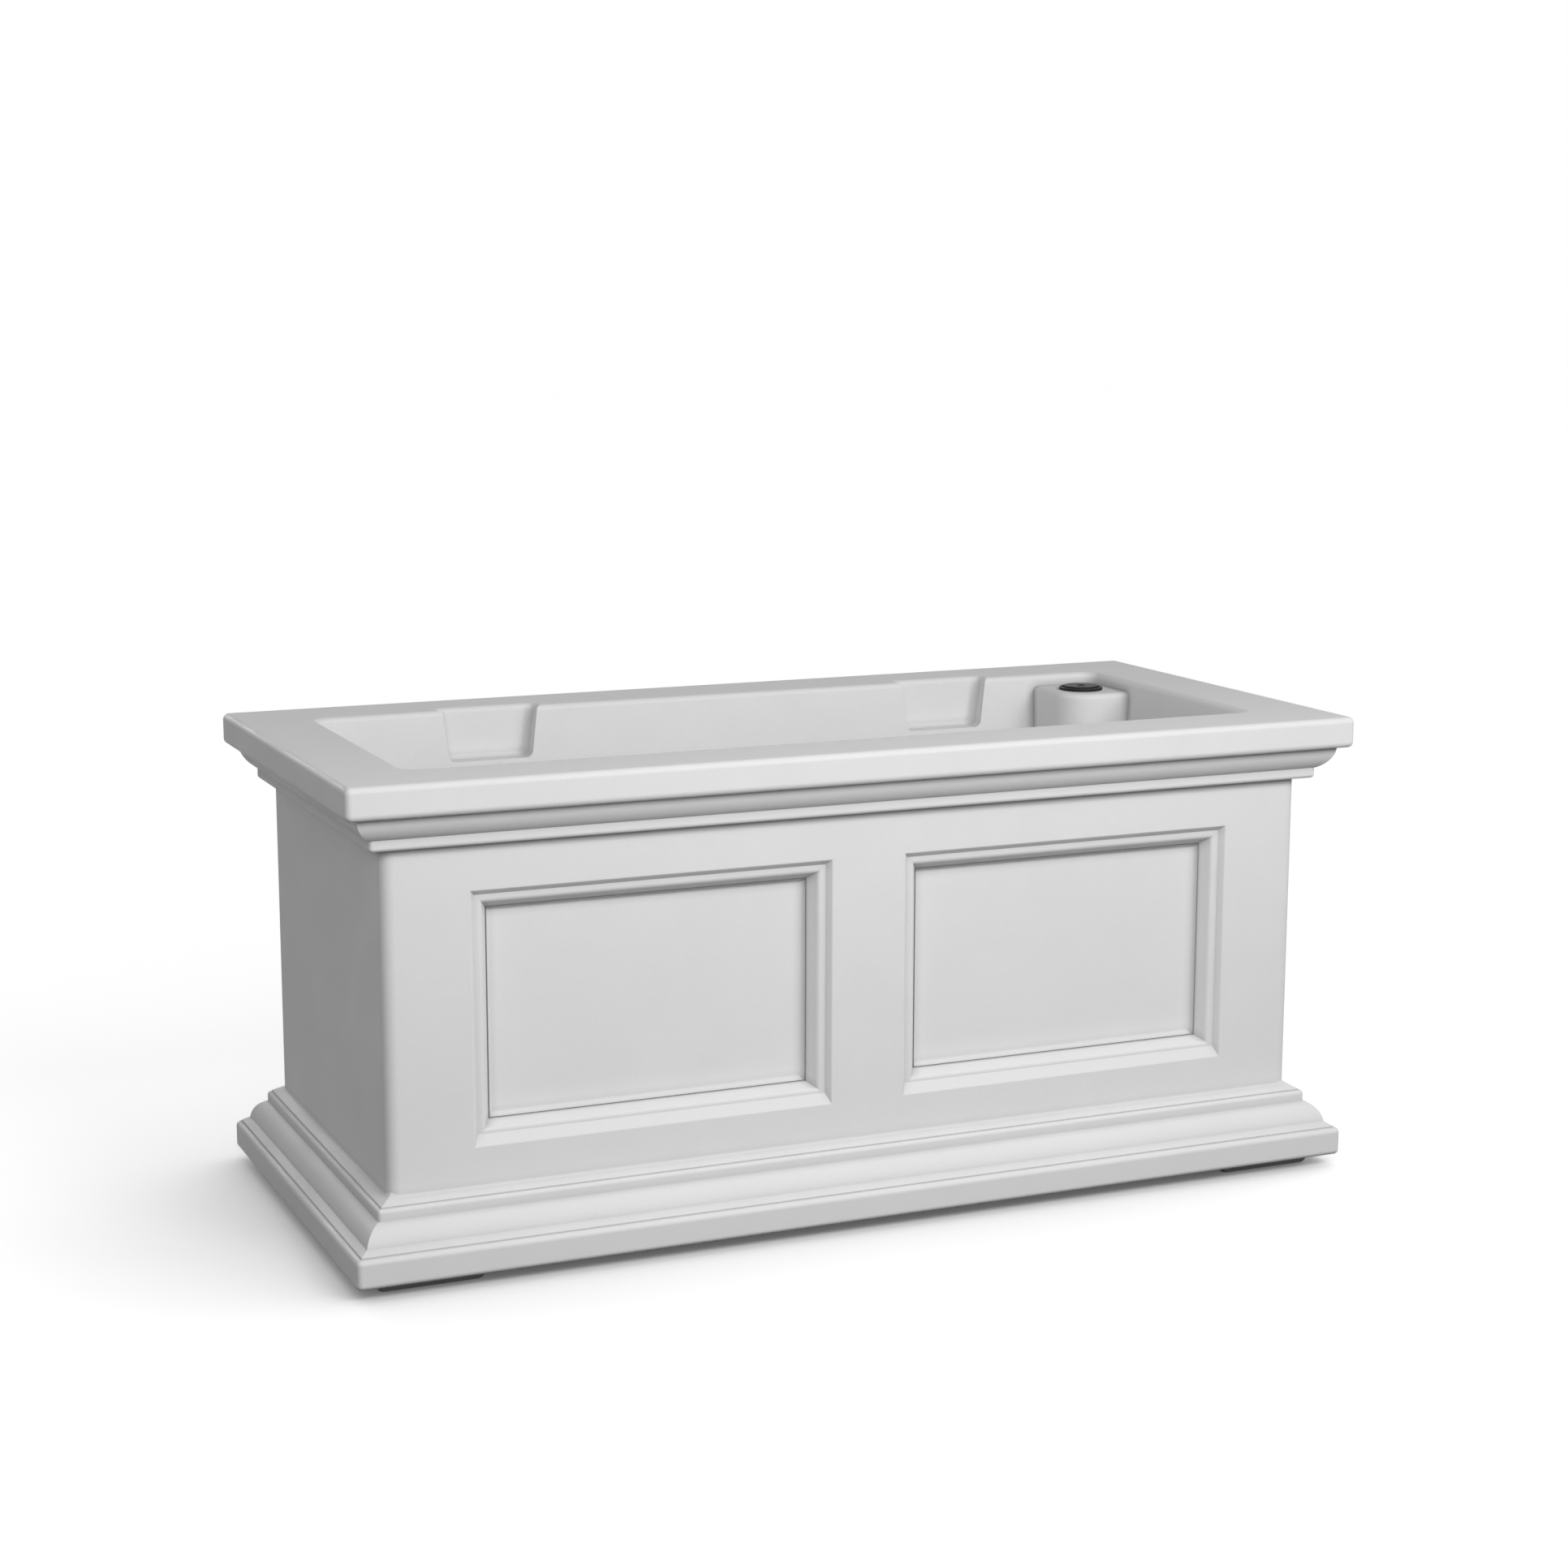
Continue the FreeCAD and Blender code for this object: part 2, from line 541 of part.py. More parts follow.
def add_pockets(body, grow, rounded):
    """Add the two bracket pockets, which taper downwards, to the back of the soil space."""
    foot = f"sizes.pocket_foot_width / 2 + {grow}"
    splay = f"(sizes.pocket_width - sizes.pocket_foot_width) / 2 * {OVERRUN} / sizes.pocket_height"
    head = f"sizes.pocket_width / 2 + {grow} + {splay}"
    low = f"sizes.shell_height - sizes.pocket_height - {grow}"
    high = f"sizes.shell_height + {OVERRUN}"
    corner = "sizes.pocket_corner" if rounded else None
    sketch = new_sketch(body, "pocket_outline", "XZ_Plane")
    outline(sketch, [(f"{POCKET_X} - ({foot})", low, corner), (f"{POCKET_X} + {foot}", low, corner),
                     (f"{POCKET_X} + {head}", high, None), (f"{POCKET_X} - ({head})", high, None)])
    back = f"{TROUGH_HALF_WIDTH} + sizes.pocket_depth + {grow}"
    niche = pad(body, "bracket_pocket", sketch, back, reverse=True)
    mirror(body, "bracket_pocket_left", [niche])
    if rounded:
        reach = value(back)
        top = value(high)
        round_edges(body, "pocket_rounding", lambda box: at(box.YMin, reach) and not at(box.ZMin, top),
                    "sizes.pocket_corner * 0.7")


def soil_space():
    """The space for soil itself, with the top edge of the filler tower rounded."""
    body = soil_form("soil_space", "0", True)
    clear_x = f"{TROUGH_HALF_LENGTH} - sizes.trough_corner"
    clear_y = f"{TROUGH_HALF_WIDTH} - sizes.trough_corner"
    round_edges(body, "tower_rounding", level_edges(TOWER_TOP, clear_x, clear_y), "sizes.tower_round")
    return body


def reservoir_form():
    """The hollow of the double wall: the outside set in by the skin, less the skins of trough and panels."""
    body = new_body("reservoir")
    skin = "sizes.skin"
    ceiling = f"sizes.shell_height - {skin}"
    slab(body, "hollow_wall", f"sizes.wall_inset + {skin}", skin, f"{ceiling} - {skin}",
         f"max(sizes.wall_corner - {skin}; {LEDGE})")
    slab(body, "hollow_lip", skin, f"{LIP_FLOOR} + {skin}", f"sizes.lip_height - 2 * {skin}")
    slab(body, "hollow_cornice", f"{BAND_INSET} + {skin}", f"{CORNICE_BAND_FLOOR} + {skin}",
         f"{ceiling} - ({CORNICE_BAND_FLOOR}) - {skin}")
    slab(body, "hollow_plinth", skin, skin, f"sizes.plinth_height - 2 * {skin}")
    slab(body, "hollow_base", f"{BAND_INSET} + {skin}", skin, f"{BASE_BAND_TOP} - 2 * {skin}")
    skins = [soil_form("soil_skin", skin, False)]
    for name, side in (("left", -1), ("right", 1)):
        backing = new_body(f"panel_skin_{name}")
        sketch = new_sketch(backing, "panel_skin_outline", "XZ_Plane", f"{HALF_WIDTH} - sizes.wall_inset")
        outline(sketch, block(f"{PANEL_WIDTH} / 2 + {skin}", f"{PANEL_HEIGHT} / 2 + {skin}", None,
                              f"{side} * {PANEL_X}", f"{PANEL_SILL} + {PANEL_HEIGHT} / 2"))
        pad(backing, "panel_skin", sketch, f"{FIELD_DEPTH} + {skin}", "-45", reverse=True)
        skins.append(backing)
    combine(body, "inner_skins", skins, "Cut")
    return body


def foot_middle(side_x, side_y):
    """Formulas for the middle of a foot."""
    return (f"{side_x} * ({HALF_LENGTH} - sizes.foot_end_inset - sizes.foot_length / 2)",
            f"{side_y} * ({HALF_WIDTH} - sizes.foot_side_inset - sizes.foot_width / 2)")


def shell():
    """The moulded shell: outside, foot seats, panels, trough, holes and slots, and the hollow."""
    body = outer_form()
    sketch = new_sketch(body, "foot_seats", "XY_Plane")
    room = "sizes.foot_flare + sizes.seat_clearance"
    for side_x in (-1, 1):
        for side_y in (-1, 1):
            outline(sketch, block(f"sizes.foot_length / 2 + {room}", f"sizes.foot_width / 2 + {room}", None,
                                  *foot_middle(side_x, side_y)))
    pocket(body, "seats", sketch, "sizes.seat_depth", reverse=True)
    sketch = new_sketch(body, "overflow_hole", "XZ_Plane", f"sizes.wall_inset - {HALF_WIDTH}")
    ring(sketch, "0", OVERFLOW_LEVEL, "sizes.overflow_bore")
    pocket(body, "overflow", sketch, "2 * sizes.skin", reverse=True)
    combine(body, "panels", [panel_form("left", -1), panel_form("right", 1)], "Cut")
    combine(body, "soil_trough", [soil_space()], "Cut")
    mouth = (TROUGH_HALF_LENGTH, f"{TROUGH_HALF_WIDTH} + sizes.pocket_depth")
    round_edges(body, "rim_rounding", level_edges("sizes.shell_height", *mouth), "sizes.rim_round")
    sketch = new_sketch(body, "filler_hole", "XY_Plane", TOWER_TOP)
    ring(sketch, FILLER_X, FILLER_Y, "sizes.filler_bore")
    pocket(body, "filler", sketch, "2 * sizes.skin")
    sketch = new_sketch(body, "wick_slots", "XY_Plane", "sizes.well_floor")
    for side in (-1, 1):
        for step in (-1, 0, 1):
            outline(sketch, block("sizes.wick_slot_width / 2", "sizes.wick_slot_length / 2", None,
                                  f"{side} * {WELL_X} + {step} * 4 * sizes.wick_slot_width"))
    pocket(body, "wick", sketch, "sizes.skin + 1")
    combine(body, "hollow", [reservoir_form()], "Cut")
    place(body, "0", "0", "sizes.foot_stand")
    return body


def plug(label, bore, middle, turn):
    """A moulded plug for a hole: brim with a raised ring and a groove, raised middle, hollow shank."""
    body = new_body(label)
    hole = f"sizes.{bore} / 2"
    shank = f"{hole} - sizes.plug_fit"
    bore_wall = f"{shank} - sizes.plug_wall"
    brim = f"{hole} + sizes.plug_brim"
    groove = f"{brim} - sizes.plug_ring"
    disc = f"{groove} - sizes.plug_groove"
    roof = "sizes.plug_groove_floor - sizes.plug_wall"
    sketch = new_sketch(body, "plug_section", "XZ_Plane")
    outline(sketch, [("0", roof, None), (bore_wall, roof, None), (bore_wall, "-sizes.plug_shank", None),
                     (shank, "-sizes.plug_shank", None), (shank, "0", None), (brim, "0", None),
                     (brim, "sizes.plug_brim_height", None), (groove, "sizes.plug_brim_height", None),
                     (disc, "sizes.plug_groove_floor", None), (disc, "sizes.plug_crown", None),
                     ("0", "sizes.plug_crown", None)])
    turned = body.newObject("PartDesign::Revolution", "plug_body")
    turned.Profile = sketch
    turned.ReferenceAxis = (sketch, ["V_Axis"])
    body.Placement = FreeCAD.Placement(FreeCAD.Vector(), FreeCAD.Rotation(FreeCAD.Vector(1, 0, 0), turn))
    place(body, *middle)
    return body


def foot(label, side_x, side_y):
    """A foot pad that flares up to its top, which sits in the shell's recess."""
    body = new_body(label)
    sketch = new_sketch(body, "tread", "XY_Plane")
    outline(sketch, block("sizes.foot_length / 2", "sizes.foot_width / 2"))
    rise = "(sizes.foot_stand + sizes.seat_depth)"
    pad(body, "pad", sketch, rise)
    draft_sides(body, "flare", lambda box: not is_level(box), "0", f"atan(sizes.foot_flare / {rise})")
    place(body, *foot_middle(side_x, side_y), "0")
    return body


pieces = [
    shell(),
    plug("fill_plug", "filler_bore", (FILLER_X, FILLER_Y, f"sizes.foot_stand + {TOWER_TOP}"), 0),
    plug("overflow_plug", "overflow_bore",
         ("0", f"{HALF_WIDTH} - sizes.wall_inset", f"sizes.foot_stand + {OVERFLOW_LEVEL}"), -90),
    foot("foot_pad_front_left", -1, -1),
    foot("foot_pad_front_right", 1, -1),
    foot("foot_pad_back_left", -1, 1),
    foot("foot_pad_back_right", 1, 1),
]
doc.recompute()
for item in doc.Objects:
    if "Invalid" in item.State or "Error" in item.State:
        raise RuntimeError(f"{item.Name}: {item.State}")
os.makedirs("parts", exist_ok=True)
for piece in pieces:
    if piece.Shape.isNull() or not piece.Shape.isValid() or len(piece.Shape.Solids) != 1:
        raise RuntimeError(f"{piece.Label} is not one sound solid")
    piece.Shape.exportStep(f"parts/{piece.Label}.step")
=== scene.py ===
"""Looks of the window box planter: finishes for its moulded pieces, a white studio and the camera."""
import logging
import math
from collections.abc import Callable
from dataclasses import dataclass
from enum import Enum
from typing import Any

import bmesh
import bpy
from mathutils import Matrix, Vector


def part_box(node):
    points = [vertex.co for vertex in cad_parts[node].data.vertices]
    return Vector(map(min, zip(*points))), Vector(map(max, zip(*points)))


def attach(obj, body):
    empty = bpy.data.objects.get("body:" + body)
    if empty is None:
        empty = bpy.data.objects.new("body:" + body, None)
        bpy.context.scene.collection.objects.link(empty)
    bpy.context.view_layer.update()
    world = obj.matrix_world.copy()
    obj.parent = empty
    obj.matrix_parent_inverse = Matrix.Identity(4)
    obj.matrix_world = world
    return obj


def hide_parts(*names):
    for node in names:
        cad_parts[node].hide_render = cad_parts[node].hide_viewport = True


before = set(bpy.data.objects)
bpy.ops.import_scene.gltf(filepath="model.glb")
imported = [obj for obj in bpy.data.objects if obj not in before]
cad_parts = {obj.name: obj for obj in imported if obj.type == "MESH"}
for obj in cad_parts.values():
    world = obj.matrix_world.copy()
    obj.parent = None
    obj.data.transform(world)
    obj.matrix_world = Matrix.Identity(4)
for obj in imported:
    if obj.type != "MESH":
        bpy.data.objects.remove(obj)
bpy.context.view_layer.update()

Point = tuple[float, float, float]

MM = 0.001
# Lengths that differ by less than this are the same.
NEAR = 0.02 * MM
# A face is level where at least this share of its normal points along Z.
LEVEL = 0.99
# Edges that bend more than this are rounded.
SHARP_ANGLE = math.radians(40)
# Faces that meet at less than this are shaded as one smooth surface.
SMOOTH_ANGLE = math.radians(35)
# Range that the values of a noise pattern mostly keep to.
NOISE_LOW, NOISE_HIGH = 0.3, 0.7
# Sockets of a Mix node, by number because floats and colours share their names.
MIX_FACTOR = 0
MIX_FLOAT_A, MIX_FLOAT_B, MIX_FLOAT_OUT = 2, 3, 0
MIX_COLOUR_A, MIX_COLOUR_B, MIX_COLOUR_OUT = 6, 7, 2
LOG = logging.getLogger("planter")


class Body(Enum):
    """Rigid bodies of the planter."""

    PLANTER = "planter"
    FILL_PLUG = "fill_plug"
    OVERFLOW_PLUG = "overflow_plug"


class Slot(Enum):
    """Material slots of the planter."""

    SHELL = "shell_plastic"
    PLUG = "plug_plastic"
    FOOT = "foot_rubber"


class Facing(Enum):
    """The way that a plug pulls out, as a turn about X from straight up."""

    UP = 0.0
    BACK = -math.pi / 2


class MeshPart(Enum):
    """Kinds of mesh element that can be selected."""

    FACE = "FACE"
    EDGE = "EDGE"


def linear(code: str) -> tuple[float, float, float, float]:
    """Turn an sRGB hex colour into linear values.

    Args:
        code: Colour as six hex digits, with or without a leading hash.

    Returns:
        Linear red, green and blue, and an alpha of 1.
    """
    digits = code.lstrip("#")
    shares = [int(digits[i:i + 2], 16) / 255 for i in (0, 2, 4)]
    red, green, blue = (s / 12.92 if s <= 0.04045 else ((s + 0.055) / 1.055) ** 2.4 for s in shares)
    return red, green, blue, 1.0


def add_node(tree: bpy.types.NodeTree, kind: str, settings: dict[str, Any] | None = None,
             links: dict[str | int, bpy.types.NodeSocket] | None = None, **values: Any) -> bpy.types.Node:
    """Add a shader node with its settings, socket values and incoming links.

    Args:
        tree: Node tree that takes the node.
        kind: Node type, such as ShaderNodeTexNoise.
        settings: Node properties by name.
        links: Output sockets by the name or number of the input that they feed.
        values: Input values by name, with underscores for spaces.

    Returns:
        The new node.
    """
    node = tree.nodes.new(kind)
    for name, setting in (settings or {}).items():
        setattr(node, name, setting)
    for name, number in values.items():
        node.inputs[name.replace("_", " ")].default_value = number
    for name, socket in (links or {}).items():
        tree.links.new(socket, node.inputs[name])
    return node


def new_material(name: str) -> tuple[bpy.types.Material, bpy.types.NodeTree, bpy.types.Node]:
    """Make a material with an empty node tree.

    Args:
        name: Name of the material.

    Returns:
        The material, its node tree and its output node.
    """
    material = bpy.data.materials.new(name)
    material.use_nodes = True
    tree = material.node_tree
    tree.nodes.clear()
    return material, tree, add_node(tree, "ShaderNodeOutputMaterial")


@dataclass(frozen=True)
class MouldedFinish:
    """A moulded surface: one colour with faint mottling, a fine mould grain, and painted shade in its
    creases.

    Attributes:
        name: Name of the material.
        shade: Darker end of the mottling, as sRGB hex.
        tint: Lighter end of the mottling, as sRGB hex.
        smooth: Roughness where the mould was worn.
        rough: Roughness where its grain is fresh.
        ior: Refractive index of the plastic or rubber.
        sheen_level: Specular level of the surface.
        mottle_mm: Size of the mottling.
        grain_mm: Size of the mould's grain.
        grain_depth_mm: Height of the grain.
        ripple_mm: Length of the slow waves that shrinkage leaves.
        ripple_depth_mm: Height of those waves.
        crease_mm: Reach of the painted shade out of a crease.
        crease_shade: Share of the colour that the painted shade takes away at most.
    """

    name: str
    shade: str
    tint: str
    smooth: float
    rough: float
    ior: float
    sheen_level: float
    mottle_mm: float
    grain_mm: float
    grain_depth_mm: float
    ripple_mm: float
    ripple_depth_mm: float
    crease_mm: float
    crease_shade: float

    def material(self) -> bpy.types.Material:
        """Build the finish's material.

        Returns:
            The material, on Object coordinates.
        """
        material, tree, output = new_material(self.name)
        place = add_node(tree, "ShaderNodeTexCoord").outputs["Object"]
        mottle = add_node(tree, "ShaderNodeTexNoise", links={"Vector": place},
                          Scale=1 / (self.mottle_mm * MM), Detail=3.0, Roughness=0.55)
        grain = add_node(tree, "ShaderNodeTexNoise", links={"Vector": place},
                         Scale=1 / (self.grain_mm * MM), Detail=2.0, Roughness=0.6)
        ripple = add_node(tree, "ShaderNodeTexNoise", links={"Vector": place},
                          Scale=1 / (self.ripple_mm * MM), Detail=1.0)
        blend = add_node(tree, "ShaderNodeMix", {"data_type": "FLOAT"},
                         {MIX_FLOAT_A: mottle.outputs["Fac"], MIX_FLOAT_B: grain.outputs["Fac"]}, Factor=0.5)
        colour = add_node(tree, "ShaderNodeMix", {"data_type": "RGBA"},
                          {MIX_FACTOR: blend.outputs[MIX_FLOAT_OUT]})
        colour.inputs[MIX_COLOUR_A].default_value = linear(self.shade)
        colour.inputs[MIX_COLOUR_B].default_value = linear(self.tint)
        # Painted shade: ambient occlusion darkens the colour in creases and recesses, standing in for the
        # shade that falls there.
        crease = add_node(tree, "ShaderNodeAmbientOcclusion", {"samples": 8, "only_local": True},
                          Distance=self.crease_mm * MM)
        painted_crease_shade = add_node(tree, "ShaderNodeMapRange", links={"Value": crease.outputs["AO"]},
                        To_Min=1.0 - self.crease_shade)
        crease_shaded_colour = add_node(tree, "ShaderNodeMix", {"data_type": "RGBA", "blend_type": "MULTIPLY"},
                         {MIX_COLOUR_A: colour.outputs[MIX_COLOUR_OUT], MIX_COLOUR_B: painted_crease_shade.outputs["Result"]},
                         Factor=1.0)
        wear = add_node(tree, "ShaderNodeMapRange", links={"Value": mottle.outputs["Fac"]},
                        From_Min=NOISE_LOW, From_Max=NOISE_HIGH, To_Min=self.smooth, To_Max=self.rough)
        waves = add_node(tree, "ShaderNodeBump", links={"Height": ripple.outputs["Fac"]},
                         Strength=1.0, Distance=self.ripple_depth_mm * MM)
        skin = add_node(tree, "ShaderNodeBump",
                        links={"Height": grain.outputs["Fac"], "Normal": waves.outputs["Normal"]},
                        Strength=1.0, Distance=self.grain_depth_mm * MM)
        shader = add_node(tree, "ShaderNodeBsdfPrincipled",
                          links={"Base Color": crease_shaded_colour.outputs[MIX_COLOUR_OUT],
                                 "Roughness": wear.outputs["Result"], "Normal": skin.outputs["Normal"]},
                          IOR=self.ior, Specular_IOR_Level=self.sheen_level)
        tree.links.new(shader.outputs["BSDF"], output.inputs["Surface"])
        return material


# Polyethylene moulded in a blasted tool: white, slightly milky, with a soft sheen and no sharp reflections.
# The real grain is about 0.4 mm, and it is drawn at 1.1 mm so that it shows in the render.
WHITE_POLYETHYLENE = MouldedFinish(
    name="white_moulded_polyethylene", shade="#DCDCDC", tint="#E8E8E8", smooth=0.50, rough=0.60, ior=1.51,
    sheen_level=0.20, mottle_mm=30.0, grain_mm=1.1, grain_depth_mm=0.05, ripple_mm=70.0,
    ripple_depth_mm=0.05, crease_mm=6.0, crease_shade=0.75)
# Black injection-moulded polypropylene: dark, with a satin sheen along its rounded edges.
# Its grain is about 0.2 mm, and it is drawn at 0.6 mm so that it shows in the render.
BLACK_POLYPROPYLENE = MouldedFinish(
    name="black_moulded_polypropylene", shade="#121213", tint="#1C1C1D", smooth=0.42, rough=0.54, ior=1.49,
    sheen_level=0.20, mottle_mm=8.0, grain_mm=0.6, grain_depth_mm=0.01, ripple_mm=20.0,
    ripple_depth_mm=0.01, crease_mm=1.5, crease_shade=0.60)
# Moulded rubber: grey, dry and matt, with a dull and wide sheen.
# Its grain is about 0.3 mm, and it is drawn at 0.8 mm so that it shows in the render.
GREY_RUBBER = MouldedFinish(
    name="grey_moulded_rubber", shade="#9C9C9C", tint="#A8A8A8", smooth=0.72, rough=0.84, ior=1.52,
    sheen_level=0.35, mottle_mm=10.0, grain_mm=0.8, grain_depth_mm=0.03, ripple_mm=25.0,
    ripple_depth_mm=0.02, crease_mm=3.0, crease_shade=0.40)


def choose(piece: bpy.types.Object, part: MeshPart, test: Callable[[Any], bool]) -> None:
    """Select some faces or edges of a piece that is in edit mode.

    Args:
        piece: Piece in edit mode.
        part: Whether faces or edges are selected.
        test: Says whether a face or an edge is wanted.
    """
    bpy.ops.mesh.select_mode(type=part.value)
    bpy.ops.mesh.select_all(action="DESELECT")
    mesh = bmesh.from_edit_mesh(piece.data)
    items = mesh.faces if part is MeshPart.FACE else mesh.edges
    for item in items:
        item.select_set(test(item))
    bmesh.update_edit_mesh(piece.data)


def inset(width_mm: float) -> None:
    """Inset the selected face by a width in millimetres."""
    bpy.ops.mesh.inset(thickness=width_mm * MM, use_even_offset=True)


def lift(rise_mm: float) -> None:
    """Extrude the selected face straight up by a rise in millimetres, or down where it is negative."""
    bpy.ops.mesh.extrude_region_move(TRANSFORM_OT_translate={"value": (0.0, 0.0, rise_mm * MM)})


def soften(piece: bpy.types.Object, width_mm: float, steps: int) -> None:
    """Round the sharp edges that a piece has left, and shade it smoothly.

    Args:
        piece: Piece in object mode.
        width_mm: Width of the rounding.
        steps: Flats across the rounding.
    """
    rounding = piece.modifiers.new("edge_rounding", "BEVEL")
    rounding.width = width_mm * MM
    rounding.segments = steps
    rounding.limit_method = "ANGLE"
    rounding.angle_limit = SHARP_ANGLE
    bpy.ops.object.modifier_apply(modifier=rounding.name)
    bpy.ops.object.shade_smooth_by_angle(angle=SMOOTH_ANGLE)


def fit(piece: bpy.types.Object, node: str, body: Body, finish: bpy.types.Material) -> None:
    """Set a finished piece in the place of a CAD node.

    Args:
        piece: Piece with its place in its mesh.
        node: Node that the piece stands for.
        body: Body that it moves with.
        finish: Material for all its faces.
    """
    piece.name = f"{node}_visual"
    piece.data.name = piece.name
    piece.data.materials.clear()
    piece.data.materials.append(finish)
    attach(piece, body.value)
    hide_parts(node)
    LOG.info("%s stands for %s in %s", piece.name, node, finish.name)


@dataclass
class Shell:
    """The one-piece moulded shell, whose CAD shape stays.

    Attributes:
        node: CAD node of the shell.
    """

    node: str = "planter_shell"

    def build(self) -> None:
        """Dress the shell in white polyethylene."""
        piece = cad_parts[self.node]
        finish = WHITE_POLYETHYLENE.material()
        piece.data.materials.clear()
        piece.data.materials.append(finish)
        LOG.info("%s wears %s", self.node, finish.name)


@dataclass
class Plugs:
    """The push-in fill and overflow plugs, with the rounded edges of real mouldings.

    Attributes:
        fill_bore_mm: Diameter of the filler hole.
        overflow_bore_mm: Diameter of the overflow hole.
        brim_mm: Brim beyond the hole.
        brim_height_mm: Height of the brim.
        brim_round_mm: Rounding of the brim's outer edge.
        brim_steps: Flats across that rounding.
        ring_mm: Raised ring round the brim.
        groove_mm: Groove between that ring and the raised middle.
        groove_floor_mm: Floor of the groove above the seat.
        crown_mm: Top of the raised middle above the seat.
        dimple_mm: Width of the dimple in the middle.
        dimple_depth_mm: Depth of the dimple.
        shank_mm: Length below the brim.
        wall_mm: Wall of the hollow shank.
        fit_mm: Clearance in the hole.
        edge_round_mm: Rounding of the other edges.
        edge_steps: Flats across that rounding.
        sides: Flats round a plug.
    """

    fill_bore_mm: float = 23.0
    overflow_bore_mm: float = 15.0
    brim_mm: float = 2.4
    brim_height_mm: float = 1.8
    brim_round_mm: float = 0.8
    brim_steps: int = 5
    ring_mm: float = 1.6
    groove_mm: float = 1.3
    groove_floor_mm: float = 1.0
    crown_mm: float = 2.6
    dimple_mm: float = 5.0
    dimple_depth_mm: float = 0.8
    shank_mm: float = 13.0
    wall_mm: float = 2.0
    fit_mm: float = 0.08
    edge_round_mm: float = 0.3
    edge_steps: int = 3
    sides: int = 96

    def build(self) -> None:
        """Model both plugs and set them in their holes."""
        finish = BLACK_POLYPROPYLENE.material()
        holes = ((Body.FILL_PLUG, self.fill_bore_mm, Facing.UP),
                 (Body.OVERFLOW_PLUG, self.overflow_bore_mm, Facing.BACK))
        for body, bore_mm, facing in holes:
            piece = self.model(bore_mm)
            self.seat(piece, body.value, facing)
            fit(piece, body.value, body, finish)

    def model(self, bore_mm: float) -> bpy.types.Object:
        """Model a plug that stands upright with its seat at the origin.

        Args:
            bore_mm: Diameter of the hole.

        Returns:
            The plug.
        """
        brim = bore_mm / 2 + self.brim_mm
        middle = brim - self.ring_mm - self.groove_mm
        top = self.brim_height_mm * MM
        bpy.ops.object.select_all(action="DESELECT")
        bpy.ops.mesh.primitive_cylinder_add(vertices=self.sides, radius=brim * MM, depth=top,
                                            location=(0.0, 0.0, top / 2))
        piece = bpy.context.object
        bpy.ops.object.transform_apply(location=True, rotation=False, scale=False)
        bpy.ops.object.mode_set(mode="EDIT")
        choose(piece, MeshPart.EDGE,
               lambda edge: all(abs(corner.co.z - top) < NEAR for corner in edge.verts))
        bpy.ops.mesh.bevel(offset=self.brim_round_mm * MM, segments=self.brim_steps, affect="EDGES")
        choose(piece, MeshPart.FACE, lambda face: face.normal.z > LEVEL)
        inset(self.ring_mm - self.brim_round_mm)
        lift(self.groove_floor_mm - self.brim_height_mm)
        inset(self.groove_mm)
        lift(self.crown_mm - self.groove_floor_mm)
        inset(middle - self.dimple_mm / 2)
        lift(-self.dimple_depth_mm)
        choose(piece, MeshPart.FACE, lambda face: face.normal.z < -LEVEL)
        inset(self.brim_mm + self.fit_mm)
        lift(-self.shank_mm)
        inset(self.wall_mm)
        lift(self.shank_mm + self.groove_floor_mm - self.wall_mm)
        bpy.ops.mesh.select_all(action="SELECT")
        bpy.ops.mesh.normals_make_consistent(inside=False)
        bpy.ops.object.mode_set(mode="OBJECT")
        soften(piece, self.edge_round_mm, self.edge_steps)
        return piece

    def seat(self, piece: bpy.types.Object, node: str, facing: Facing) -> None:
        """Turn a plug and set it where its CAD node is.

        Args:
            piece: Plug with its seat at the origin.
            node: Its CAD node.
            facing: The way that it pulls out.
        """
        low, high = (Vector(corner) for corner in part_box(node))
        place = (low + high) / 2
        if facing is Facing.UP:
            place.z = high.z - self.crown_mm * MM
        else:
            place.y = high.y - self.crown_mm * MM
        piece.rotation_euler.x = facing.value
        piece.location = place
        bpy.ops.object.transform_apply(location=True, rotation=True, scale=False)


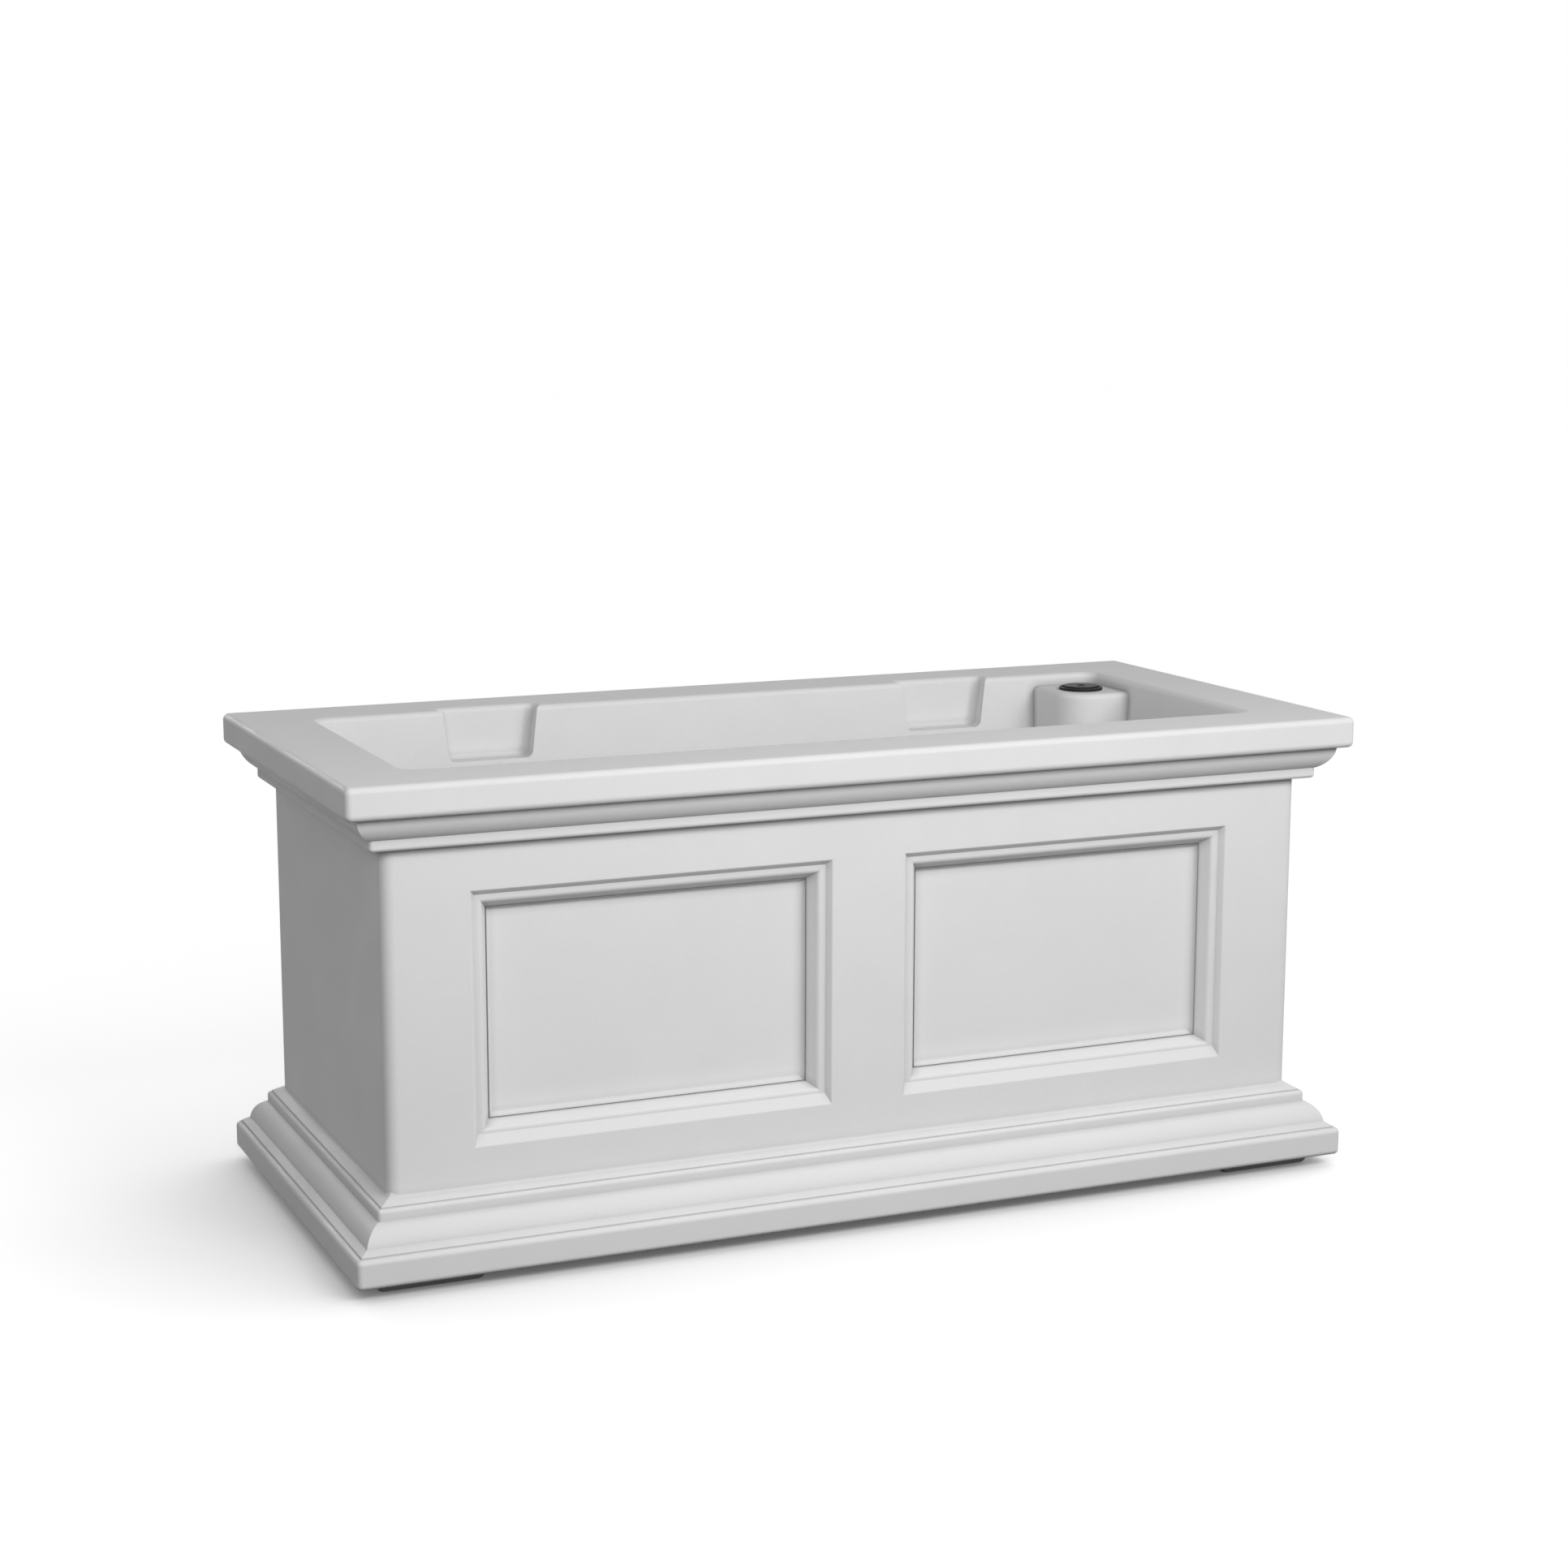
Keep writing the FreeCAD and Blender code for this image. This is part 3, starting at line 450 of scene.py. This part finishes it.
@dataclass
class Feet:
    """The four flared foot pads, with rounded corners and lower edges.

    Attributes:
        flare_mm: Widening of a pad up to its seat, on each side.
        corner_mm: Rounding of the upright corners.
        tread_round_mm: Rounding of the lower edges.
        round_steps: Flats across each rounding.
    """

    flare_mm: float = 2.8
    corner_mm: float = 2.5
    tread_round_mm: float = 1.8
    round_steps: int = 4

    def build(self) -> None:
        """Model one pad, copy it, and set each copy in its place."""
        finish = GREY_RUBBER.material()
        nodes = [f"foot_pad_{end}_{side}" for end in ("front", "back") for side in ("left", "right")]
        first = self.model(nodes[0])
        start = Vector(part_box(nodes[0])[0])
        pads = [first]
        for node in nodes[1:]:
            bpy.ops.object.select_all(action="DESELECT")
            first.select_set(True)
            bpy.context.view_layer.objects.active = first
            bpy.ops.object.duplicate(linked=False)
            pad = bpy.context.object
            pad.location = Vector(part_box(node)[0]) - start
            bpy.ops.object.transform_apply(location=True, rotation=False, scale=False)
            pads.append(pad)
        for node, pad in zip(nodes, pads):
            fit(pad, node, Body.PLANTER, finish)

    def model(self, node: str) -> bpy.types.Object:
        """Model the pad of a node, in its place.

        Args:
            node: CAD node of the pad.

        Returns:
            The pad.
        """
        low, high = (Vector(corner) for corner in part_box(node))
        size, middle = high - low, (low + high) / 2
        bpy.ops.object.select_all(action="DESELECT")
        bpy.ops.mesh.primitive_cube_add(size=1.0, location=middle, scale=size)
        piece = bpy.context.object
        bpy.ops.object.transform_apply(location=True, rotation=False, scale=True)
        shrink = 2 * self.flare_mm * MM
        bpy.ops.object.mode_set(mode="EDIT")
        choose(piece, MeshPart.FACE, lambda face: face.normal.z < -LEVEL)
        bpy.ops.transform.resize(value=(1 - shrink / size.x, 1 - shrink / size.y, 1.0),
                                 center_override=middle)
        choose(piece, MeshPart.EDGE,
               lambda edge: abs(edge.verts[0].co.z - edge.verts[1].co.z) > size.z / 2)
        bpy.ops.mesh.bevel(offset=self.corner_mm * MM, segments=self.round_steps, affect="EDGES")
        choose(piece, MeshPart.EDGE,
               lambda edge: all(corner.co.z - low.z < NEAR for corner in edge.verts))
        bpy.ops.mesh.bevel(offset=self.tread_round_mm * MM, segments=self.round_steps, affect="EDGES")
        bpy.ops.mesh.select_all(action="SELECT")
        bpy.ops.mesh.normals_make_consistent(inside=False)
        bpy.ops.object.mode_set(mode="OBJECT")
        bpy.ops.object.shade_smooth_by_angle(angle=SMOOTH_ANGLE)
        return piece


@dataclass(frozen=True)
class DistantLight:
    """A light that is far away and comes from one side.

    Attributes:
        name: Name of the lamp.
        source: Direction that the light comes from.
        power: Its strength, in watts for each square metre.
        spread: Its angular width, in degrees.
    """

    name: str
    source: Point
    power: float
    spread: float

    def lamp(self) -> bpy.types.Light:
        """Make the lamp of the light.

        Returns:
            The lamp, which is not in the scene yet.
        """
        lamp = bpy.data.lights.new(self.name, "SUN")
        lamp.angle = math.radians(self.spread)
        lamp.energy = self.power
        return lamp


@dataclass
class Studio:
    """White floor, a long soft lamp in front, two distant lights and a glow from all round.

    Attributes:
        floor_half: Half the floor's side, in metres.
        lamp_place: Middle of the long lamp, in metres.
        lamp_target: Point that it faces, in metres.
        lamp_size: Its length and height, in metres.
        lamp_power: Its power, in watts.
        broad: Broad light at the front right.
        fill: Low fill light behind the planter.
        glow: Strength of the glow from the sides.
        glow_top: Strength of the glow from straight above.
        floor_tone: Colour of the floor for the light that it returns, as sRGB hex.
        floor_white: White that the floor shows where it is open to all sides.
        floor_lit: Share of the light on it that the floor shows on top of that white.
        shade_from: Direction of the light that the floor's painted shadow is drawn for.
        shade_reach: How far the planter's painted shadow reaches over the floor, in metres.
    """

    floor_half: float = 12.0
    lamp_place: Point = (0.05, -0.66, 0.515)
    lamp_target: Point = (0.02, -0.10, 0.16)
    lamp_size: tuple[float, float] = (1.2, 0.25)
    lamp_power: float = 3.65
    broad: DistantLight = DistantLight("broad_light", source=(0.324, -0.764, 0.559), power=0.60, spread=25.0)
    fill: DistantLight = DistantLight("fill_light", source=(0.0, 0.998, 0.060), power=1.0, spread=8.0)
    glow: float = 0.71
    glow_top: float = 0.05
    floor_tone: str = "#303030"
    floor_white: float = 0.72
    floor_lit: float = 0.70
    shade_from: Point = (0.45, 0.40, 0.80)
    shade_reach: float = 0.25

    def build(self) -> None:
        """Set up the floor, the lamps and the world."""
        bpy.ops.object.select_all(action="DESELECT")
        bpy.ops.mesh.primitive_plane_add(size=2 * self.floor_half)
        floor = bpy.context.object
        floor.name = "studio_floor"
        floor.data.materials.append(self.floor_material())
        self.hang_lamps()
        self.light_world()
        bpy.context.scene.view_settings.view_transform = "Standard"

    def hang_lamps(self) -> None:
        """Hang the long lamp and the two distant lights."""
        strip = bpy.data.lights.new("strip_lamp", "AREA")
        strip.shape = "RECTANGLE"
        strip.size, strip.size_y = self.lamp_size
        strip.energy = self.lamp_power
        self.hang(strip, self.lamp_place, self.lamp_target)
        for light in (self.broad, self.fill):
            self.hang(light.lamp(), light.source, (0.0, 0.0, 0.0))

    @staticmethod
    def hang(lamp: bpy.types.Light, place: Point, target: Point) -> None:
        """Put a lamp in the scene and turn it to its target.

        Args:
            lamp: Lamp to hang.
            place: Its position, in metres.
            target: Point that it faces, in metres.
        """
        holder = bpy.data.objects.new(lamp.name, lamp)
        holder.location = place
        aim = Vector(target) - Vector(place)
        holder.rotation_euler = aim.to_track_quat("-Z", "Y").to_euler()
        bpy.context.scene.collection.objects.link(holder)

    def floor_material(self) -> bpy.types.Material:
        """Build a floor that looks white, with the planter's shadow painted on it, and returns little light.

        Returns:
            The floor's material.
        """
        material, tree, output = new_material("studio_white")
        matt = add_node(tree, "ShaderNodeBsdfDiffuse", Color=linear(self.floor_tone))
        # Painted shadow: ambient occlusion, leaning towards shade_from, darkens the white that the floor
        # emits near the planter.
        side = add_node(tree, "ShaderNodeCombineXYZ", **dict(zip("XYZ", self.shade_from)))
        open_sky = add_node(tree, "ShaderNodeAmbientOcclusion", links={"Normal": side.outputs["Vector"]},
                            Distance=self.shade_reach)
        white = add_node(tree, "ShaderNodeMapRange", links={"Value": open_sky.outputs["AO"]},
                         To_Max=self.floor_white)
        pale = add_node(tree, "ShaderNodeEmission", links={"Strength": white.outputs["Result"]})
        lit = add_node(tree, "ShaderNodeBsdfDiffuse", Color=(self.floor_lit,) * 3 + (1.0,))
        shown = add_node(tree, "ShaderNodeAddShader", links={0: pale.outputs[0], 1: lit.outputs[0]})
        mix = add_node(tree, "ShaderNodeMixShader",
                       links={"Fac": self.seen(tree), 1: matt.outputs[0], 2: shown.outputs[0]})
        tree.links.new(mix.outputs[0], output.inputs["Surface"])
        # The floor's white is for the eye alone, so it isn't sampled as a lamp.
        material.cycles.emission_sampling = "NONE"
        return material

    def light_world(self) -> None:
        """Glow from all round, most from the sides, and show white to the camera and in reflections."""
        world = bpy.data.worlds.new("studio_world")
        bpy.context.scene.world = world
        world.use_nodes = True
        tree = world.node_tree
        tree.nodes.clear()
        way = add_node(tree, "ShaderNodeSeparateXYZ",
                       links={"Vector": add_node(tree, "ShaderNodeTexCoord").outputs["Generated"]})
        level = add_node(tree, "ShaderNodeMapRange", links={"Value": way.outputs["Z"]},
                         To_Min=self.glow, To_Max=self.glow_top)
        glow = add_node(tree, "ShaderNodeBackground", links={"Strength": level.outputs["Result"]},
                        Color=linear("#FFFFFF"))
        white = add_node(tree, "ShaderNodeBackground", Color=linear("#FFFFFF"), Strength=1.0)
        mix = add_node(tree, "ShaderNodeMixShader",
                       links={"Fac": self.seen(tree), 1: glow.outputs[0], 2: white.outputs[0]})
        add_node(tree, "ShaderNodeOutputWorld", links={"Surface": mix.outputs[0]})

    @staticmethod
    def seen(tree: bpy.types.NodeTree) -> bpy.types.NodeSocket:
        """Give a factor of 1 for rays from the camera, in reflections and through clear pieces.

        Args:
            tree: Node tree to add to.

        Returns:
            The factor's socket.
        """
        path = add_node(tree, "ShaderNodeLightPath")
        mirrored = add_node(tree, "ShaderNodeMath", {"operation": "MAXIMUM"},
                            {0: path.outputs["Is Glossy Ray"], 1: path.outputs["Is Transmission Ray"]})
        either = add_node(tree, "ShaderNodeMath", {"operation": "MAXIMUM"},
                          {0: path.outputs["Is Camera Ray"], 1: mirrored.outputs[0]})
        return either.outputs[0]


@dataclass
class PhotoCamera:
    """Camera at the photograph's viewpoint.

    Attributes:
        place: Position in metres.
        turn: Turn to the right of straight ahead, in radians.
        tilt: Tilt below the horizon, in radians.
        focal_pixels: Focal length in pixels of the photograph.
        centre: Pixel that the camera points at.
        image: Side of the photograph in pixels.
        sensor_mm: Side of the sensor.
    """

    place: Point = (-0.66894, -1.52248, 0.52727)
    turn: float = 0.4040
    tilt: float = 0.1785
    focal_pixels: float = 3505.66
    centre: tuple[float, float] = (933.98, 977.43)
    image: float = 1932.0
    sensor_mm: float = 36.0

    def build(self) -> None:
        """Add the camera and make it the scene's."""
        lens = bpy.data.cameras.new("photo_camera")
        lens.sensor_width = self.sensor_mm
        lens.lens = self.focal_pixels / self.image * self.sensor_mm
        lens.shift_x = 0.5 - self.centre[0] / self.image
        lens.shift_y = self.centre[1] / self.image - 0.5
        camera = bpy.data.objects.new("photo_camera", lens)
        camera.location = self.place
        camera.rotation_euler = (math.pi / 2 - self.tilt, 0.0, -self.turn)
        bpy.context.scene.collection.objects.link(camera)
        bpy.context.scene.camera = camera


def main() -> None:
    """Dress the planter, set up the studio and the camera."""
    logging.basicConfig(level=logging.INFO, format="%(name)s: %(message)s")
    for piece in (Shell(), Plugs(), Feet(), Studio(), PhotoCamera()):
        piece.build()
        LOG.info("%s built", type(piece).__name__)


if __name__ == "__main__":
    main()
